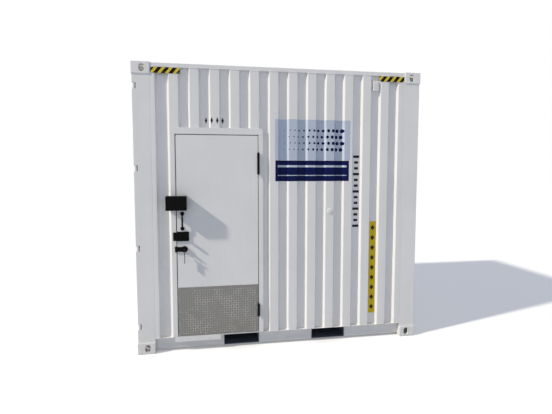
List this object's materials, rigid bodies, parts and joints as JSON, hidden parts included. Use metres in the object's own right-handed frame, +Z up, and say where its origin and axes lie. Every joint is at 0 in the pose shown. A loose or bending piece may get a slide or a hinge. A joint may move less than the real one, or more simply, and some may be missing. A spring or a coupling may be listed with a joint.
{
  "type": "ablution container",
  "caption": "High-cube steel container fitted out as a toilet room, with corrugated walls, a side door with lock gear and checker kick plate, end cargo doors and fork pockets.",
  "frame": {"origin": "middle of the plan, on the plane of the bottom castings' feet", "axes": "+X along the door side to the blind end, +Y from the door side to the rear, +Z up"},
  "size_m": [2.991, 2.564, 2.896],
  "materials": {
    "white_paint": "satin",
    "under_paint": "matt",
    "hazard_plate": "satin",
    "black_paint": "satin",
    "zinc": "satin",
    "checker_plate": "satin",
    "black_rubber": "matt",
    "tag_plastic": "matt",
    "deck_ply": "matt",
    "lining_board": "matt",
    "sanitary_ware": "gloss",
    "seat_plastic": "gloss",
    "bright_metal": "polished",
    "mirror_face": "polished",
    "lamp_cover": "matt"
  },
  "bodies": {
    "container": {"corner_castings": "white_paint", "door_end_posts": "white_paint", "blind_end_posts": "white_paint", "top_side_rails": "white_paint", "bottom_side_rails": "white_paint", "cargo_end_rails": "white_paint", "blind_end_rails": "white_paint", "front_wall": "white_paint", "rear_wall": "white_paint", "end_wall": "white_paint", "roof_panel": "white_paint", "door_frame": "white_paint", "door_sill": "white_paint", "vent_covers": "white_paint", "pipe_cap": "white_paint", "fork_pockets": "under_paint", "cross_members": "under_paint", "marking_plates": "hazard_plate", "lock_staple": "black_paint", "lock_keepers": "black_paint", "hinge_frame_halves": "black_paint", "cam_keepers": "zinc", "cargo_hinge_pins": "zinc", "door_seal": "black_rubber", "floor_deck": "deck_ply", "room_lining": "lining_board", "partition": "lining_board", "wc_pan": "sanitary_ware", "wc_cistern": "sanitary_ware", "basin": "sanitary_ware", "seat_hinge": "seat_plastic", "basin_fittings": "bright_metal", "mirror_glass": "mirror_face", "light_fitting": "lamp_cover"},
    "personnel_door": {"door_leaf": "white_paint", "kick_plate": "checker_plate", "hinge_door_halves": "black_paint", "lock_box": "black_paint", "pull_handles": "black_paint", "rim_lock_case": "black_paint", "latch_case": "black_paint"},
    "turn_knob": {"turn_knob": "black_paint"},
    "rim_lock_bolt": {"rim_lock_bolt": "zinc"},
    "latch_knob": {"latch_knob": "black_paint"},
    "latch_bolt": {"latch_bolt": "zinc"},
    "key_tag": {"key_tag": "tag_plastic"},
    "cargo_door_front": {"cargo_leaf_front": "white_paint", "cargo_gasket_front": "black_rubber", "rod_guides_front": "zinc"},
    "cargo_door_rear": {"cargo_leaf_rear": "white_paint", "cargo_gasket_rear": "black_rubber", "rod_guides_rear": "zinc"},
    "lock_rod_front_outer": {"lock_rod_front_outer": "zinc"},
    "lock_rod_front_inner": {"lock_rod_front_inner": "zinc"},
    "lock_rod_rear_inner": {"lock_rod_rear_inner": "zinc"},
    "lock_rod_rear_outer": {"lock_rod_rear_outer": "zinc"},
    "wc_seat": {"wc_seat": "seat_plastic"},
    "flush_button": {"flush_button": "bright_metal"},
    "tap_lever": {"tap_lever": "bright_metal"}
  },
  "joints": [
    {"name": "door_swing", "type": "hinge", "parent": "container", "child": "personnel_door", "pos_m": [-0.266, -1.229, 1.2], "axis": [0, 0, 1], "range_deg": [0, 160]},
    {"name": "knob_turn", "type": "hinge", "parent": "personnel_door", "child": "turn_knob", "pos_m": [-1.05, -1.26, 1.2045], "axis": [0, 1, 0], "range_deg": [0, 90]},
    {"name": "bolt_throw", "type": "slide", "parent": "personnel_door", "child": "rim_lock_bolt", "axis": [-1, 0, 0], "range_m": [0, 0.028]},
    {"name": "latch_turn", "type": "hinge", "parent": "personnel_door", "child": "latch_knob", "pos_m": [-1.015, -1.25, 1.063], "axis": [0, 1, 0], "range_deg": [0, 90]},
    {"name": "latch_throw", "type": "slide", "parent": "personnel_door", "child": "latch_bolt", "axis": [-1, 0, 0], "range_m": [0, 0.022]},
    {"name": "tag_swing", "type": "hinge", "parent": "latch_knob", "child": "key_tag", "pos_m": [-1.015, -1.266, 1.063], "axis": [0, 1, 0], "range_deg": [-115, 25]},
    {"name": "cargo_front_swing", "type": "hinge", "parent": "container", "child": "cargo_door_front", "pos_m": [-1.4695, -1.193, 1.4], "axis": [0, 0, 1], "range_deg": [0, 200]},
    {"name": "cargo_rear_swing", "type": "hinge", "parent": "container", "child": "cargo_door_rear", "pos_m": [-1.4695, 1.193, 1.4], "axis": [0, 0, -1], "range_deg": [0, 200]},
    {"name": "rod_front_outer_turn", "type": "hinge", "parent": "cargo_door_front", "child": "lock_rod_front_outer", "pos_m": [-1.472, -0.87, 1.16], "axis": [0, 0, 1], "range_deg": [0, 90]},
    {"name": "rod_front_inner_turn", "type": "hinge", "parent": "cargo_door_front", "child": "lock_rod_front_inner", "pos_m": [-1.472, -0.3, 1.29], "axis": [0, 0, -1], "range_deg": [0, 90]},
    {"name": "rod_rear_inner_turn", "type": "hinge", "parent": "cargo_door_rear", "child": "lock_rod_rear_inner", "pos_m": [-1.472, 0.3, 1.29], "axis": [0, 0, 1], "range_deg": [0, 90]},
    {"name": "rod_rear_outer_turn", "type": "hinge", "parent": "cargo_door_rear", "child": "lock_rod_rear_outer", "pos_m": [-1.472, 0.87, 1.16], "axis": [0, 0, -1], "range_deg": [0, 90]},
    {"name": "seat_lift", "type": "hinge", "parent": "container", "child": "wc_seat", "pos_m": [0.85, 0.901, 0.5935], "axis": [-1, 0, 0], "range_deg": [0, 95]},
    {"name": "flush_press", "type": "slide", "parent": "container", "child": "flush_button", "axis": [0, 0, -1], "range_m": [0, 0.006], "stiffness_N_per_m": 300},
    {"name": "tap_turn", "type": "hinge", "parent": "container", "child": "tap_lever", "pos_m": [-0.35, 1.073, 1.13], "axis": [0, 0, 1], "range_deg": [0, 90]}
  ],
  "couplings": [
    {"joint": "bolt_throw", "follows": "knob_turn", "m_per_rad": 0.017824},
    {"joint": "latch_throw", "follows": "latch_turn", "m_per_rad": 0.014004}
  ]
}
